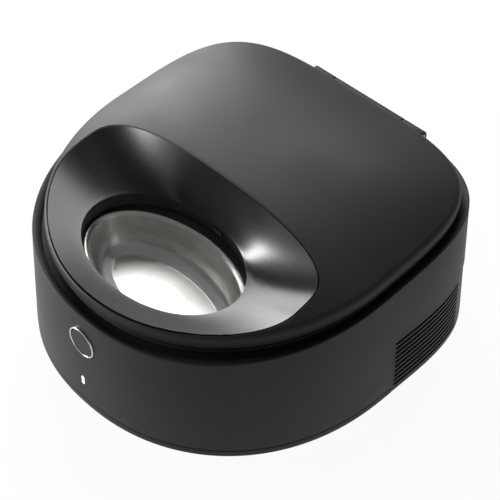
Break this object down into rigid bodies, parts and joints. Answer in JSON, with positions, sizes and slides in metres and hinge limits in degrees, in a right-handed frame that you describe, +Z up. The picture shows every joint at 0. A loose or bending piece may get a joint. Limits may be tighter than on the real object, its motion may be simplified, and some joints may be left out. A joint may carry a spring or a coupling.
{
  "type": "refrigerated pet feeder",
  "caption": "Countertop wet-food feeder: a cooled tub with a turning tray of steel bowls under a hinged domed lid, whose scoop leads to an oval serving hole.",
  "frame": {"origin": "on the floor, under the middle of the body's outline", "axes": "+Z up, the front with the button towards -Y, the lid's hinge towards +Y, +X to the right seen from the front"},
  "size_m": [0.3, 0.301, 0.1473],
  "materials": {
    "charcoal_plastic": "soft-touch moulded, finely grained, dark charcoal",
    "gloss_black": "polished piano black",
    "black_plastic": "moulded, satin black",
    "liner_plastic": "moulded, light grey",
    "tray_plastic": "moulded, dark grey",
    "stainless_steel": "brushed food-grade stainless steel",
    "steel": "plain zinc-plated steel",
    "aluminium": "plain extruded aluminium",
    "chrome": "bright chrome",
    "foam": "moulded bead foam",
    "silicone": "soft black silicone",
    "rubber": "matt black rubber",
    "ceramic": "white ceramic faces",
    "circuit_board": "green solder mask",
    "gear_plastic": "natural acetal",
    "light_window": "milky light window",
    "sensor_window": "dark infrared window"
  },
  "bodies": {
    "base": {"outer_shell": "charcoal_plastic", "bottom_cover": "charcoal_plastic", "foot_front_left": "rubber", "foot_front_right": "rubber", "foot_rear_left": "rubber", "foot_rear_right": "rubber", "base_screw_side_left": "steel", "base_screw_side_right": "steel", "base_screw_rear_left": "steel", "base_screw_rear_right": "steel", "vent_grille_left": "black_plastic", "vent_grille_right": "black_plastic", "top_deck": "black_plastic", "chamber_liner": "liner_plastic", "chamber_insulation": "foam", "cold_plate": "aluminium", "thermoelectric_module": "ceramic", "heat_sink": "aluminium", "fan_frame": "black_plastic", "fan_screw_one": "steel", "fan_screw_two": "steel", "gear_motor": "steel", "motor_bracket": "steel", "spindle_bearing": "gear_plastic", "deck_magnet_left": "steel", "deck_magnet_right": "steel", "hinge_bracket": "charcoal_plastic", "hinge_pin": "steel", "hinge_screw_left": "steel", "hinge_screw_right": "steel", "button_ring": "chrome", "button_switch": "black_plastic", "front_board": "circuit_board", "light_window": "light_window", "main_board": "circuit_board", "dc_socket": "black_plastic", "temperature_sensor": "steel"},
    "lid": {"lid_shell": "charcoal_plastic", "scoop_insert": "gloss_black", "serving_seal": "silicone", "serving_sensor": "sensor_window", "lid_liner": "black_plastic", "lid_insulation": "foam", "lid_gasket": "silicone", "lid_hinge_arm": "charcoal_plastic", "lid_magnet_left": "steel", "lid_magnet_right": "steel"},
    "tray": {"turntable_spindle": "steel", "drive_gear": "gear_plastic", "turntable": "tray_plastic", "food_tray": "tray_plastic", "tray_lift_knob": "tray_plastic", "bowl_1": "stainless_steel", "bowl_2": "stainless_steel"},
    "pinion": {"drive_pinion": "gear_plastic"},
    "fan": {"fan_rotor": "black_plastic"},
    "button": {"button_cap": "charcoal_plastic"}
  },
  "joints": [
    {"name": "lid_hinge", "type": "hinge", "parent": "base", "child": "lid", "pos_m": [0, 0.1458, 0.119], "axis": [-1, 0, 0], "range_deg": [0, 95]},
    {"name": "tray_spin", "type": "hinge", "parent": "base", "child": "tray", "pos_m": [0, 0.0075, 0.05], "axis": [0, 0, 1], "continuous": true},
    {"name": "pinion_spin", "type": "hinge", "parent": "base", "child": "pinion", "pos_m": [-0.03182, -0.02432, 0.031], "axis": [0, 0, 1], "continuous": true},
    {"name": "fan_spin", "type": "hinge", "parent": "base", "child": "fan", "pos_m": [0, 0.086, 0.012], "axis": [0, 0, 1], "continuous": true},
    {"name": "button_press", "type": "slide", "parent": "base", "child": "button", "axis": [0, 1, 0], "range_m": [0, 0.001], "stiffness_N_per_m": 400}
  ],
  "couplings": [
    {"joint": "pinion_spin", "follows": "tray_spin", "ratio": -4}
  ]
}
